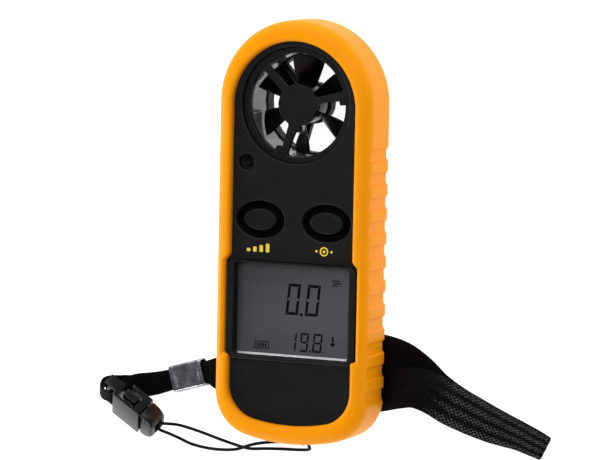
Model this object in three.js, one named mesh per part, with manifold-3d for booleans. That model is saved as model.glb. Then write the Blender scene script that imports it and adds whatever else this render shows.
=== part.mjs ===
// Pocket weather meter with a vane fan, lying on its back, with its wrist strap.
// Millimetres. +Z points out of the face, +Y to the fan end, +X to the right of the face.
// The origin is on the table, under the middle of the rubber jacket.

import * as THREE from 'three';
import { mergeVertices } from 'three/addons/utils/BufferGeometryUtils.js';
import Module from 'manifold-3d';

const wasm = await Module();
wasm.setup();

// ---- driving dimensions ----
const LENGTH = 105;
const WIDTH = 41;
const THICKNESS = 15;
const REST_GAP = 1.4;
const GAP = 0.3;
const PAST = 0.5;

const JACKET_WALL = 2.0;
const JACKET_BACK_WALL = 1.6;
const JACKET_ROUND = 3.2;
const CORNER_R = 11;
const BOTTOM_R = 50;
const OPENING_INSET = 4.05;
const OPENING_DROP = 1.1;
const OPENING_LIFT = 0.8;
const CASE_WALL = 1.4;

const JACKET_Z0 = REST_GAP;
const JACKET_Z1 = REST_GAP + THICKNESS;
const CASE_Z0 = JACKET_Z0 + JACKET_BACK_WALL + GAP;
const FACE_Z = JACKET_Z1 - 1.74;
const SPLIT_Z = 8.85;

const FAN_Y = 31.6;
const FAN_HOLE_R = 14.4;
const JACKET_FAN_R = FAN_HOLE_R + 0.2;
const DUCT_R = 14.1;
const DUCT_BORE_R = 12.8;
const FAN_HUB_R = 5.2;
const BLADE_TIP_R = 12.3;
const BLADE_COUNT = 6;
const BLADE_SPAN = 34;
const FIRST_BLADE = 26.5;
const BLADE_HALF = 0.35;
const SPOKE_WIDTH = 1.9;
const SPOKE_ANGLES = [14, 134, 254];
const SHAFT_R = 0.6;
const SHAFT_BORE_R = 0.67;
const BEARING_R = 1.6;
const BEARING_POCKET_R = 1.9;
const GUARD_Z0 = 12.1;
const GUARD_Z1 = 13.5;
const REAR_GUARD_Z1 = 3.4;
const REAR_SPOKE_Z0 = 1.8;
const REAR_BORE_R = DUCT_BORE_R - 0.4;
const DUCT_Z0 = 3.7;
const DUCT_Z1 = 11.8;
const MAGNET_R = 2.3;
const MAGNET_HEIGHT = 1.5;
const IMPELLER_Z0 = 5.2;
const IMPELLER_Z1 = 11.2;

const PORT_X = -12.9;
const PORT_Y = 17.0;
const PORT_R = 2.0;

const KEY_X = 8.9;
const KEY_Y = 3.0;
const KEY_WIDTH = 8.9;
const KEY_HEIGHT = 5.5;
const WELL_WIDTH = 12.9;
const WELL_HEIGHT = 9.2;
const CAP_Z0 = 12.3;
const CAP_RISE = 0.2;
const SKIRT_Z0 = 11.7;
const SKIRT_Z1 = 12.7;
const SKIRT_MARGIN_X = 0.8;
const SKIRT_MARGIN_Y = 0.7;
const STEM_R = 1.1;
const SWITCH_SIZE = 4.5;

const LCD_Y = -19.2;
const LCD_WIDTH = 30.2;
const LCD_HEIGHT = 22.4;
const BEZEL_WIDTH = 34.8;
const WINDOW_Z0 = 12.3;
const WINDOW_Z1 = 12.95;
const BEZEL_Y0 = -31.9;
const BEZEL_Y1 = -7.3;
const BEZEL_RISE = 0.9;
const BEZEL_CORNER_R = 2;

const BOARD_Z0 = 8.9;
const BOARD_Z1 = 9.9;
const BATTERY_R = 10;
const BATTERY_Y = -33;
const BATTERY_Z0 = 5.3;
const BATTERY_THICKNESS = 3.2;

const SCREWS = [[-14.2, 12.2], [14.2, 12.2], [-12.5, -43.5], [12.5, -43.5]];
const SCREW_HEAD_R = 1.6;
const SCREW_SHANK_R = 0.7;
const BOSS_R = 1.9;

const GRIP_COUNT = 11;
const GRIP_PITCH = 5.95;
const GRIP_FIRST_Y = -39.6;
const GRIP_HEIGHT = 3.2;
const GRIP_DEPTH = 0.5;
const GRIP_Z0 = JACKET_Z0 + 1.5;
const GRIP_Z1 = JACKET_Z1 - 3.8;

const ANCHOR_Y = -46.4;
const ANCHOR_R = 0.9;
const CORD_D = 0.8;
const CORD_Z = 5.4;

const STRAP_THICKNESS = 0.7;

// ---- looks ----
const paint = (color, roughness, metalness = 0) =>
  new THREE.MeshStandardMaterial({ color, roughness, metalness });
const RUBBER = paint(0xff9a08, 0.55);
const CHARCOAL = paint(0x242427, 0.6);
const GLOSS_BLACK = paint(0x0c0c0e, 0.25);
const LCD_GREY = paint(0x5a5a5e, 0.2);
const STEEL = paint(0xc9cacc, 0.3, 1);
const BRASS = paint(0xc8a24a, 0.35, 1);
const BOARD_GREEN = paint(0x1f5c38, 0.5);
const WEBBING = paint(0x141416, 0.9);
const GREY_RUBBER = paint(0x70747a, 0.8);

const rad = THREE.MathUtils.degToRad;
const group = new THREE.Group();
group.name = 'weather_meter';

// ---- solids ----
function solidOf(geometry) {
  geometry.deleteAttribute('normal');
  geometry.deleteAttribute('uv');
  const g = mergeVertices(geometry, 1e-4);
  return new wasm.Manifold(new wasm.Mesh({
    numProp: 3,
    vertProperties: new Float32Array(g.attributes.position.array),
    triVerts: new Uint32Array(g.index.array),
  }));
}

function addPart(name, solid, material) {
  const out = solid.getMesh();
  const geometry = new THREE.BufferGeometry();
  geometry.setAttribute('position', new THREE.BufferAttribute(out.vertProperties, 3));
  geometry.setIndex(new THREE.BufferAttribute(out.triVerts, 1));
  geometry.computeVertexNormals();
  const mesh = new THREE.Mesh(geometry, material);
  mesh.name = name;
  group.add(mesh);
}

const join = (...solids) => solids.reduce((a, b) => a.add(b));
const cut = (base, ...tools) => tools.reduce((a, b) => a.subtract(b), base);

function plate(shape, z0, z1, segments = 9) {
  const g = new THREE.ExtrudeGeometry(shape, {
    depth: z1 - z0,
    bevelEnabled: false,
    curveSegments: segments,
  });
  g.translate(0, 0, z0);
  return solidOf(g);
}

function roundedPlate(shape, z0, z1, round, steps, segments = 12) {
  const g = new THREE.ExtrudeGeometry(shape, {
    depth: z1 - z0 - 2 * round,
    bevelThickness: round,
    bevelSize: round,
    bevelOffset: -round,
    bevelSegments: steps,
    curveSegments: segments,
  });
  g.translate(0, 0, z0 + round);
  return solidOf(g);
}

function disc(x, y, r, z0, z1, segments = 24) {
  const g = new THREE.CylinderGeometry(r, r, z1 - z0, segments);
  g.rotateX(Math.PI / 2);
  g.translate(x, y, (z0 + z1) / 2);
  return solidOf(g);
}

const ring = (x, y, outer, inner, z0, z1, segments = 24) =>
  cut(disc(x, y, outer, z0, z1, segments), disc(x, y, inner, z0 - PAST, z1 + PAST, segments));

function box(x0, x1, y0, y1, z0, z1) {
  const g = new THREE.BoxGeometry(x1 - x0, y1 - y0, z1 - z0);
  g.translate((x0 + x1) / 2, (y0 + y1) / 2, (z0 + z1) / 2);
  return solidOf(g);
}

const slab = (x, y, width, height, z0, z1) =>
  box(x - width / 2, x + width / 2, y - height / 2, y + height / 2, z0, z1);

function ovalShape(x, y, width, height) {
  const shape = new THREE.Shape();
  shape.absellipse(x, y, width / 2, height / 2, 0, 2 * Math.PI);
  return shape;
}

function roundedRect(x, y, width, height, r) {
  const [w, h] = [width / 2, height / 2];
  const shape = new THREE.Shape();
  shape.absarc(x + w - r, y + h - r, r, 0, Math.PI / 2);
  shape.absarc(x - w + r, y + h - r, r, Math.PI / 2, Math.PI);
  shape.absarc(x - w + r, y - h + r, r, Math.PI, 1.5 * Math.PI);
  shape.absarc(x + w - r, y - h + r, r, 1.5 * Math.PI, 2 * Math.PI);
  shape.closePath();
  return shape;
}

// The body outline: a round fan end, straight sides, round corners and a faintly curved bottom.
function bodyOutline(inset, extraBottom = 0, topDrop = 0) {
  const half = WIDTH / 2 - inset;
  const topY = LENGTH / 2 - WIDTH / 2 - topDrop;
  const bottom = -LENGTH / 2 + inset + extraBottom;
  const corner = CORNER_R - inset * 0.6;
  const bow = BOTTOM_R - inset;
  const bowY = bottom + bow;
  const cx = half - corner;
  const cy = bowY - Math.sqrt((bow - corner) ** 2 - cx ** 2);
  const lean = Math.atan2(cx, bowY - cy);
  const shape = new THREE.Shape();
  shape.absarc(0, topY, half, 0, Math.PI);
  shape.absarc(-cx, cy, corner, Math.PI, 1.5 * Math.PI - lean);
  shape.absarc(0, bowY, bow, 1.5 * Math.PI - lean, 1.5 * Math.PI + lean);
  shape.absarc(cx, cy, corner, 1.5 * Math.PI + lean, 2 * Math.PI);
  shape.closePath();
  return shape;
}

// The raised frame round the display, moved out by margin.
function bezelOutline(margin = 0) {
  const height = BEZEL_Y1 - BEZEL_Y0 + 2 * margin;
  return roundedRect(0, (BEZEL_Y0 + BEZEL_Y1) / 2, BEZEL_WIDTH + 2 * margin, height, BEZEL_CORNER_R);
}

// ---- rubber jacket ----
function gripCuts() {
  const cuts = [];
  for (let k = 0; k < GRIP_COUNT; k++) {
    const y = GRIP_FIRST_Y + k * GRIP_PITCH;
    for (const side of [-1, 1]) {
      const x = side * (WIDTH / 2 + 1 - GRIP_DEPTH);
      cuts.push(slab(x, y, 2, GRIP_HEIGHT, GRIP_Z0, GRIP_Z1));
    }
  }
  return cuts;
}

// A bridge of material from the fan's ring towards the sensor port.
function portWeb(width, z0, z1) {
  const g = new THREE.BoxGeometry(5, width, z1 - z0);
  g.rotateZ(Math.atan2(PORT_Y - FAN_Y, PORT_X));
  g.translate(PORT_X * 0.84, FAN_Y + (PORT_Y - FAN_Y) * 0.84, (z0 + z1) / 2);
  return solidOf(g);
}

function fanOpening(r, z0, z1) {
  const lobe = disc(PORT_X, PORT_Y, PORT_R + 1.3, z0, z1, 20);
  return join(disc(0, FAN_Y, r, z0, z1, 32), lobe, portWeb(4.2, z0, z1));
}

function makeJacket() {
  const body = roundedPlate(bodyOutline(0), JACKET_Z0, JACKET_Z1, JACKET_ROUND, 2, 9);
  const cavity = plate(bodyOutline(JACKET_WALL), JACKET_Z0 + JACKET_BACK_WALL, FACE_Z + GAP, 9);
  const openingOutline = bodyOutline(OPENING_INSET, OPENING_LIFT, OPENING_DROP);
  const opening = plate(openingOutline, FACE_Z, JACKET_Z1 + PAST, 9);
  const lcdRelief = plate(bezelOutline(GAP), FACE_Z, JACKET_Z1 + PAST, 4);
  const backHole = fanOpening(JACKET_FAN_R, 0, CASE_Z0);
  const cordSlot = slab(0, -LENGTH / 2, 5, 6, CORD_Z - 0.8, CORD_Z + 0.8);
  const scoop = disc(0, -LENGTH / 2 - 3.6, 5, 0, CORD_Z + 3.6, 24);
  const solid = cut(body, cavity, opening, lcdRelief, backHole, cordSlot, scoop, ...gripCuts());
  addPart('jacket', solid, RUBBER);
}

// ---- hard case ----
function screwPosts(r, z0, z1) {
  return SCREWS.map(([x, y]) => disc(x, y, r, z0, z1, 10));
}

function makeFrontCase() {
  const inset = JACKET_WALL + GAP;
  const shell = plate(bodyOutline(inset), SPLIT_Z + GAP / 2, FACE_Z, 9);
  const hollow = plate(bodyOutline(inset + CASE_WALL), 0, FACE_Z - CASE_WALL, 9);
  const bezel = plate(bezelOutline(), FACE_Z - 1, FACE_Z + BEZEL_RISE, 4);
  const posts = screwPosts(BOSS_R, SPLIT_Z + 0.5, FACE_Z - 1);
  const postBores = screwPosts(SCREW_SHANK_R + 0.1, 0, FACE_Z - 1.8);
  const lcdHole = plate(roundedRect(0, LCD_Y, LCD_WIDTH + 0.6, LCD_HEIGHT + 0.6, 0.8), 0, 30, 4);
  const wells = [-1, 1].map((side) =>
    plate(ovalShape(side * KEY_X, KEY_Y, WELL_WIDTH, WELL_HEIGHT), 0, 30, 9));
  const fanHole = disc(0, FAN_Y, FAN_HOLE_R, 0, 30, 32);
  const port = disc(PORT_X, PORT_Y, PORT_R, 0, 30, 20);
  const shellWithPosts = join(cut(shell, hollow), bezel, ...posts);
  addPart('front_case',
    cut(shellWithPosts, ...postBores, lcdHole, ...wells, fanHole, port), CHARCOAL);
}

function makeRearCase() {
  const inset = JACKET_WALL + GAP;
  const shell = plate(bodyOutline(inset), CASE_Z0, SPLIT_Z - GAP / 2, 9);
  const hollow = plate(bodyOutline(inset + CASE_WALL), CASE_Z0 + CASE_WALL, 30, 9);
  const posts = screwPosts(BOSS_R, CASE_Z0, SPLIT_Z - 0.2);
  const headBores = screwPosts(SCREW_HEAD_R + 0.2, 0, CASE_Z0 + 1.5);
  const shankBores = screwPosts(SCREW_SHANK_R + 0.2, 0, 30);
  const anchorPosts = [slab(0, ANCHOR_Y, 2.8, 1.5, CASE_Z0, 4.6)];
  const fanHole = disc(0, FAN_Y, FAN_HOLE_R, 0, 30, 32);
  const port = disc(PORT_X, PORT_Y, PORT_R + 0.6, 0, 30, 20);
  const doorHole = disc(0, BATTERY_Y, BATTERY_R + 1.2, 0, 30, 28);
  const cordSlot = slab(0, -LENGTH / 2 + 3, 4.6, 3.4, CORD_Z - 0.7, CORD_Z + 0.7);
  const shellWithPosts = join(cut(shell, hollow), ...posts, ...anchorPosts);
  addPart('rear_case',
    cut(shellWithPosts, ...headBores, ...shankBores, fanHole, port, doorHole, cordSlot), CHARCOAL);
}

function makeBatteryDoor() {
  const door = disc(0, BATTERY_Y, BATTERY_R + 0.9, CASE_Z0, CASE_Z0 + 1.3, 28);
  const coinSlot = slab(0, BATTERY_Y, 9, 1.4, 0, CASE_Z0 + 0.7);
  addPart('battery_door', cut(door, coinSlot), CHARCOAL);
}

function makeScrews() {
  SCREWS.forEach(([x, y], i) => {
    const head = disc(x, y, SCREW_HEAD_R, CASE_Z0 + 0.2, CASE_Z0 + 1.2, 10);
    const shank = disc(x, y, SCREW_SHANK_R, CASE_Z0 + 1, FACE_Z - 2.2, 8);
    const drive = slab(x, y, 2, 0.5, 0, CASE_Z0 + 0.6);
    addPart(`case_screw_${i + 1}`, cut(head.add(shank), drive), STEEL);
  });
}

// ---- fan ----
function spokes(z0, z1) {
  return SPOKE_ANGLES.map((angle) => {
    const g = new THREE.BoxGeometry(DUCT_BORE_R + 0.2, SPOKE_WIDTH, z1 - z0);
    g.translate((DUCT_BORE_R + 0.2) / 2, 0, (z0 + z1) / 2);
    g.rotateZ(rad(angle));
    g.translate(0, FAN_Y, 0);
    return solidOf(g);
  });
}

function makeFrontGuard() {
  const rim = ring(0, FAN_Y, DUCT_R, DUCT_BORE_R, GUARD_Z0, GUARD_Z1, 32);
  const hub = disc(0, FAN_Y, FAN_HUB_R, GUARD_Z0 - 0.5, GUARD_Z1 - 0.1);
  const pocket = disc(0, FAN_Y, BEARING_POCKET_R, 0, GUARD_Z0 + 0.6, 24);
  const body = join(rim, hub, ...spokes(GUARD_Z0, GUARD_Z1 - 0.2));
  addPart('front_guard', cut(body, pocket), CHARCOAL);
}

function makeRearGuard() {
  const rim = ring(0, FAN_Y, DUCT_R, REAR_BORE_R, 0, REAR_GUARD_Z1, 48);
  const hub = disc(0, FAN_Y, FAN_HUB_R, 1.6, 4.4);
  const pocket = disc(0, FAN_Y, BEARING_POCKET_R, 3.2, 9, 24);
  const lobe = disc(PORT_X, PORT_Y, PORT_R + 0.8, 0.3, 2.9, 20);
  const body = join(rim, hub, lobe, portWeb(3.4, 0.4, 2.6), ...spokes(REAR_SPOKE_Z0, REAR_GUARD_Z1));
  const port = disc(PORT_X, PORT_Y, PORT_R - 0.5, -1, 9, 20);
  const bore = disc(0, FAN_Y, REAR_BORE_R, -1, REAR_SPOKE_Z0 - 0.1, 48);
  addPart('rear_guard', cut(body, pocket, port, bore), CHARCOAL);
}

function makeDuct() {
  addPart('fan_duct', ring(0, FAN_Y, DUCT_R, DUCT_BORE_R, DUCT_Z0, DUCT_Z1, 32), CHARCOAL);
}

// One pitched blade: a helical sheet from the hub out to the tip.
function blade(angle) {
  const steps = 4;
  const rows = 2;
  const [z0, z1] = [IMPELLER_Z0 + 0.4, IMPELLER_Z1 - 0.3];
  const positions = [];
  for (const side of [-1, 1]) {
    for (let i = 0; i <= rows; i++) {
      const r = FAN_HUB_R - 1.2 + (BLADE_TIP_R - FAN_HUB_R + 1.2) * (i / rows);
      for (let j = 0; j <= steps; j++) {
        const turn = rad(angle + BLADE_SPAN * (j / steps - 0.5));
        const z = z0 + (z1 - z0) * (j / steps);
        positions.push(r * Math.cos(turn), FAN_Y + r * Math.sin(turn), z + side * BLADE_HALF);
      }
    }
  }
  const wide = steps + 1;
  const sheet = wide * (rows + 1);
  const at = (side, i, j) => side * sheet + i * wide + j;
  const index = [];
  const quad = (a, b, c, d) => index.push(a, b, c, a, c, d);
  for (let i = 0; i < rows; i++) {
    for (let j = 0; j < steps; j++) {
      quad(at(1, i, j), at(1, i + 1, j), at(1, i + 1, j + 1), at(1, i, j + 1));
      quad(at(0, i, j), at(0, i, j + 1), at(0, i + 1, j + 1), at(0, i + 1, j));
    }
    quad(at(0, i, 0), at(0, i + 1, 0), at(1, i + 1, 0), at(1, i, 0));
    quad(at(0, i, steps), at(1, i, steps), at(1, i + 1, steps), at(0, i + 1, steps));
  }
  for (let j = 0; j < steps; j++) {
    quad(at(0, 0, j), at(1, 0, j), at(1, 0, j + 1), at(0, 0, j + 1));
    quad(at(0, rows, j), at(0, rows, j + 1), at(1, rows, j + 1), at(1, rows, j));
  }
  const g = new THREE.BufferGeometry();
  g.setAttribute('position', new THREE.Float32BufferAttribute(positions, 3));
  g.setIndex(index);
  return solidOf(g);
}

function makeImpeller() {
  const hub = disc(0, FAN_Y, FAN_HUB_R - 0.4, IMPELLER_Z0, IMPELLER_Z1);
  const blades = [];
  for (let k = 0; k < BLADE_COUNT; k++) blades.push(blade(FIRST_BLADE + (360 / BLADE_COUNT) * k));
  const bore = disc(0, FAN_Y, SHAFT_BORE_R, 0, 20, 16);
  const pocket = disc(0, FAN_Y, MAGNET_R + GAP, 0, IMPELLER_Z0 + MAGNET_HEIGHT + 0.4, 24);
  addPart('impeller', cut(join(hub, ...blades), bore, pocket), GLOSS_BLACK);
  addPart('impeller_shaft', disc(0, FAN_Y, SHAFT_R, 3.6, 12.4, 16), STEEL);
  const magnetZ = IMPELLER_Z0 + 0.1;
  addPart('rotor_magnet',
    ring(0, FAN_Y, MAGNET_R, SHAFT_R + 0.3, magnetZ, magnetZ + MAGNET_HEIGHT, 16), STEEL);
}

function makeBearings() {
  addPart('front_bearing', ring(0, FAN_Y, BEARING_R, SHAFT_BORE_R, 11.7, 12.4, 16), BRASS);
  addPart('rear_bearing', ring(0, FAN_Y, BEARING_R, SHAFT_BORE_R, 3.5, 4.3, 16), BRASS);
}

// ---- temperature sensor ----
function makeThermistor() {
  addPart('sensor_tube', ring(PORT_X, PORT_Y, PORT_R, PORT_R - 0.5, 5, 12.9, 20), CHARCOAL);
  const bead = disc(PORT_X, PORT_Y, 0.8, 10, 11.6, 16);
  const lead = disc(PORT_X, PORT_Y, 0.3, 7.2, 10.5, 10);
  addPart('thermistor', bead.add(lead), GLOSS_BLACK);
}

// ---- keys ----
function makeKeys() {
  for (const [side, name] of [[-1, 'mode'], [1, 'set']]) {
    const x = side * KEY_X;
    const cap = plate(ovalShape(x, KEY_Y, KEY_WIDTH, KEY_HEIGHT), CAP_Z0, FACE_Z + CAP_RISE, 9);
    const skirtOutline = ovalShape(x, KEY_Y, WELL_WIDTH + 2 * SKIRT_MARGIN_X,
      WELL_HEIGHT + 2 * SKIRT_MARGIN_Y);
    const skirt = plate(skirtOutline, SKIRT_Z0, SKIRT_Z1, 9);
    const stem = disc(x, KEY_Y, STEM_R, SKIRT_Z0 - 0.4, SKIRT_Z0 + GAP, 16);
    addPart(`${name}_key`, join(cap, skirt, stem), GLOSS_BLACK);
    const can = slab(x, KEY_Y, SWITCH_SIZE, SWITCH_SIZE, BOARD_Z1 + 0.15, 10.5);
    const plunger = disc(x, KEY_Y, 1, 10.3, 10.75, 16);
    addPart(`${name}_switch`, can.add(plunger), STEEL);
  }
}

// ---- display ----
function makeDisplay() {
  const pane = roundedRect(0, LCD_Y, LCD_WIDTH + 1.6, LCD_HEIGHT + 1.6, 0.6);
  addPart('lcd_window', plate(pane, WINDOW_Z0, WINDOW_Z1, 4), LCD_GREY);
  addPart('lcd_panel', slab(0, LCD_Y, 27.6, 20.6, 11.1, 12), LCD_GREY);
  const frame = slab(0, LCD_Y, 31.4, 24.2, 10.2, 12);
  addPart('lcd_holder', cut(frame, slab(0, LCD_Y, 28.2, 21.2, 10, 13)), CHARCOAL);
  for (const [side, name] of [[1, 'upper'], [-1, 'lower']]) {
    const y = LCD_Y + side * 9.2;
    addPart(`contact_strip_${name}`, slab(0, y, 25, 1.6, 10.2, 10.8), GREY_RUBBER);
  }
}

// ---- electronics ----
function makeElectronics() {
  const wide = slab(0, -15.25, 32.2, 49.5, BOARD_Z0, BOARD_Z1);
  const tail = slab(1.2, 12.2, 21, 6, BOARD_Z0, BOARD_Z1);
  addPart('main_board', wide.add(tail), BOARD_GREEN);
  addPart('meter_chip', slab(6, -8, 7, 7, 7.2, 8.6), GLOSS_BLACK);
  addPart('clock_crystal', slab(-6, -7, 5, 2, 7, 8.6), STEEL);
  addPart('hall_sensor', slab(2, 14.1, 3, 1.6, BOARD_Z1 + 0.3, 11.4), GLOSS_BLACK);
  addPart('buzzer', disc(-7.5, 6, 4, 5.4, 8.5, 24), GLOSS_BLACK);
}

function makeBattery() {
  const top = BATTERY_Z0 + BATTERY_THICKNESS;
  const can = disc(0, BATTERY_Y, BATTERY_R, BATTERY_Z0 + 0.5, top, 32);
  const lid = disc(0, BATTERY_Y, BATTERY_R - 1.2, BATTERY_Z0, top - 0.5, 32);
  addPart('battery_cell', can.add(lid), STEEL);
  addPart('battery_contact_minus', slab(0, BATTERY_Y, 9, 3, 4.8, 5.05), BRASS);
  addPart('battery_contact_plus',
    box(-3, 3, BATTERY_Y + BATTERY_R + 0.4, BATTERY_Y + BATTERY_R + 0.8, 5.2, 8.6), BRASS);
}

// ---- cord and strap ----
function makeAnchorPin() {
  addPart('cord_anchor_pin', disc(0, ANCHOR_Y, ANCHOR_R, 4.9, 8.2, 16), STEEL);
}

// A closed body swept along a route. Each station is [x, y, z, width, wx, wy, wz].
function sweep(stations, section) {
  const points = stations.map((s) => new THREE.Vector3(s[0], s[1], s[2]));
  const count = section.length;
  const positions = [];
  stations.forEach((s, i) => {
    const before = points[Math.max(i - 1, 0)];
    const after = points[Math.min(i + 1, points.length - 1)];
    const along = after.clone().sub(before).normalize();
    const across = new THREE.Vector3(s[4], s[5], s[6]);
    across.addScaledVector(along, -across.dot(along)).normalize();
    const normal = along.clone().cross(across);
    for (const [u, v] of section) {
      const p = points[i].clone().addScaledVector(across, u * s[3]).addScaledVector(normal, v);
      positions.push(p.x, p.y, p.z);
    }
  });
  const index = [];
  for (let i = 0; i + 1 < points.length; i++) {
    for (let j = 0; j < count; j++) {
      const a = i * count + j;
      const b = i * count + ((j + 1) % count);
      index.push(a, b, b + count, a, b + count, a + count);
    }
  }
  const last = (points.length - 1) * count;
  for (let j = 1; j + 1 < count; j++) {
    index.push(0, j + 1, j);
    index.push(last, last + j, last + j + 1);
  }
  const g = new THREE.BufferGeometry();
  g.setAttribute('position', new THREE.Float32BufferAttribute(positions, 3));
  g.setIndex(index);
  return solidOf(g);
}

// Stations along a smooth curve through hand-placed points, width and width direction blended.
function stationsAlong(route, steps) {
  const curve = new THREE.CatmullRomCurve3(route.map((p) => new THREE.Vector3(p[0], p[1], p[2])));
  const blend = (t, k) => {
    const at = t * (route.length - 1);
    const i = Math.min(Math.floor(at), route.length - 2);
    return route[i][k] + (route[i + 1][k] - route[i][k]) * (at - i);
  };
  const stations = [];
  for (let s = 0; s <= steps; s++) {
    const t = curve.getUtoTmapping(s / steps);
    const p = curve.getPoint(t);
    stations.push([p.x, p.y, p.z, blend(t, 3), blend(t, 4), blend(t, 5), blend(t, 6)]);
  }
  return stations;
}

// The thin cord: from the buckle's nose, through the bottom slot, round the pin and back.
const CORD_ROUTE = [
  [-41.6, -52.0, 5.0],
  [-40.1, -53.0, 5.0],
  [-38.2, -54.0, 3.6],
  [-36.2, -55.3, 1.6],
  [-33.6, -56.6, 0.5],
  [-30.5, -57.2, 0.5],
  [-26.0, -57.5, 0.5],
  [-21.0, -57.1, 0.5],
  [-16.0, -55.4, 0.5],
  [-10.5, -54.4, 0.5],
  [-5.0, -54.0, 0.6],
  [-2.2, -53.8, 1.9],
  [-0.9, -53.6, 4.2],
  [-0.8, -51.8, 5.4],
  [-1.0, -49.6, 5.4],
  [-1.6, -47.6, 5.4],
  [-1.6, -45.7, 5.4],
  [0.0, -44.6, 5.4],
  [1.6, -45.7, 5.4],
  [1.6, -47.6, 5.4],
  [1.0, -49.6, 5.4],
  [0.8, -51.8, 5.4],
  [0.9, -53.9, 4.4],
  [0.0, -55.2, 2.0],
  [-3.2, -55.8, 0.6],
  [-8.5, -56.0, 0.5],
  [-12.8, -56.2, 1.0],
  [-16.6, -56.4, 1.6],
  [-20.6, -55.9, 0.9],
  [-26.0, -54.7, 0.5],
  [-31.2, -53.2, 0.9],
  [-35.8, -51.7, 3.2],
  [-39.2, -51.2, 6.0],
  [-41.0, -50.9, 6.4],
];

function makeCord() {
  const round = [];
  for (let k = 0; k < 8; k++) {
    const turn = (k * Math.PI) / 4;
    round.push([(Math.cos(turn) * CORD_D) / 2, (Math.sin(turn) * CORD_D) / 2]);
  }
  const route = CORD_ROUTE.map((p) => [...p, 1, 0, 0, 1]);
  const stations = stationsAlong(route, 56);
  addPart('loop_cord', sweep(stations, round), WEBBING);
}

// The strap: end in the crimp, out to the loop's far fold, back through the crimp, round the
// buckle's bar and into the crimp again. x, y, z, width, then the direction of its width.
const STRAP_ROUTE = [
  [-35.0, -39.5, 3.05, 5.2, -0.28, 0.96, 0],
  [-30.0, -38.05, 3.05, 5.2, -0.28, 0.96, 0],
  [-27.6, -37.6, 3.0, 5.2, -0.1, 1, 0],
  [-24.6, -39.6, 1.9, 5.6, 0.3, 0.95, 0],
  [-21.4, -41.4, 0.8, 6.0, 0.3, 0.95, 0],
  [-17.0, -42.2, 0.5, 7.0, 0.1, 1, 0],
  [-10.0, -42.1, 0.5, 8.2, 0, 1, 0],
  [0.0, -41.6, 0.5, 9.2, 0, 1, 0],
  [12.0, -40.6, 0.5, 9.6, -0.1, 1, 0],
  [18.0, -39.7, 0.6, 9.6, -0.1, 1, 0],
  [23.0, -38.3, 1.9, 10.0, -0.1, 1, 0.1],
  [28.0, -37.4, 2.4, 10.2, 0.2, 1, 0.05],
  [33.0, -38.4, 2.2, 10.4, 0.4, 0.9, 0],
  [38.5, -41.0, 2.0, 10.4, 0.42, 0.9, 0],
  [44.0, -43.2, 2.0, 9.8, 0.38, 0.92, 0],
  [50.0, -45.5, 2.0, 8.6, 0.38, 0.92, 0],
  [56.0, -47.6, 2.0, 7.0, 0.42, 0.9, 0],
  [60.6, -49.4, 2.0, 6.3, 0.45, 0.89, 0],
  [62.5, -50.2, 1.25, 6.2, 0.45, 0.89, 0],
  [60.6, -49.4, 0.5, 6.3, 0.45, 0.89, 0],
  [56.0, -47.6, 0.5, 6.8, 0.42, 0.9, 0],
  [50.0, -45.5, 0.5, 7.6, 0.38, 0.92, 0],
  [44.0, -43.2, 0.5, 8.4, 0.38, 0.92, 0],
  [38.5, -40.8, 0.5, 8.8, 0.45, 0.9, 0],
  [33.4, -37.8, 0.5, 9.0, 0.55, 0.83, 0],
  [28.8, -34.0, 0.5, 9.2, 0.6, 0.8, 0],
  [24.0, -31.2, 0.5, 9.4, 0.4, 0.92, 0],
  [18.0, -29.8, 0.5, 9.4, 0.1, 1, 0],
  [10.0, -29.8, 0.5, 9.0, 0, 1, 0],
  [-2.0, -30.6, 0.5, 8.2, -0.1, 1, 0],
  [-12.0, -32.6, 0.5, 7.0, -0.2, 1, 0],
  [-18.0, -34.2, 0.5, 6.0, -0.28, 0.96, 0],
  [-22.0, -35.2, 0.6, 5.4, -0.28, 0.96, 0],
  [-25.0, -36.3, 0.8, 5.2, -0.28, 0.96, 0],
  [-28.4, -37.6, 1.05, 5.2, -0.28, 0.96, 0],
  [-33.4, -39.05, 1.05, 5.2, -0.28, 0.96, 0],
  [-38.2, -40.45, 1.05, 5.2, -0.28, 0.96, 0],
  [-43.5, -42.0, 1.05, 5.8, -0.28, 0.96, 0.05],
  [-48.0, -42.9, 1.5, 5.8, -0.1, 0.95, 0.2],
  [-52.0, -42.3, 2.9, 5.6, 0.15, 0.8, 0.5],
  [-54.2, -41.7, 4.3, 5.6, 0.37, 0.58, 0.72],
  [-55.7, -42.2, 5.7, 5.6, 0.37, 0.58, 0.72],
  [-55.9, -43.6, 6.8, 5.6, 0.37, 0.58, 0.72],
  [-54.8, -44.8, 7.3, 5.6, 0.37, 0.58, 0.72],
  [-53.1, -45.1, 6.9, 5.6, 0.37, 0.58, 0.72],
  [-52.3, -44.5, 5.8, 5.6, 0.37, 0.58, 0.72],
  [-51.7, -43.6, 4.7, 5.6, 0.37, 0.58, 0.72],
  [-50.6, -42.8, 3.6, 5.6, 0.3, 0.7, 0.6],
  [-47.6, -42.2, 2.6, 5.6, 0, 0.95, 0.3],
  [-43.5, -41.7, 2.1, 5.5, -0.25, 0.96, 0.05],
  [-38.2, -40.45, 2.05, 5.2, -0.28, 0.96, 0],
  [-31.0, -38.35, 2.05, 5.2, -0.28, 0.96, 0],
];

function makeStrap() {
  const t = STRAP_THICKNESS / 2;
  const flat = [[-0.5, -t], [0.5, -t], [0.5, t], [-0.5, t]];
  addPart('wrist_strap', sweep(stationsAlong(STRAP_ROUTE, 80), flat), WEBBING);
}

function makeCrimp() {
  const sleeve = cut(slab(0, 0, 9, 7, 0, 4.2), slab(0, 0, 12, 6.3, 0.35, 3.85));
  const turned = sleeve.rotate([0, 0, 16.3]);
  addPart('strap_crimp', turned.translate([-33.3, -39.0, 0]), STEEL);
}

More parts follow.
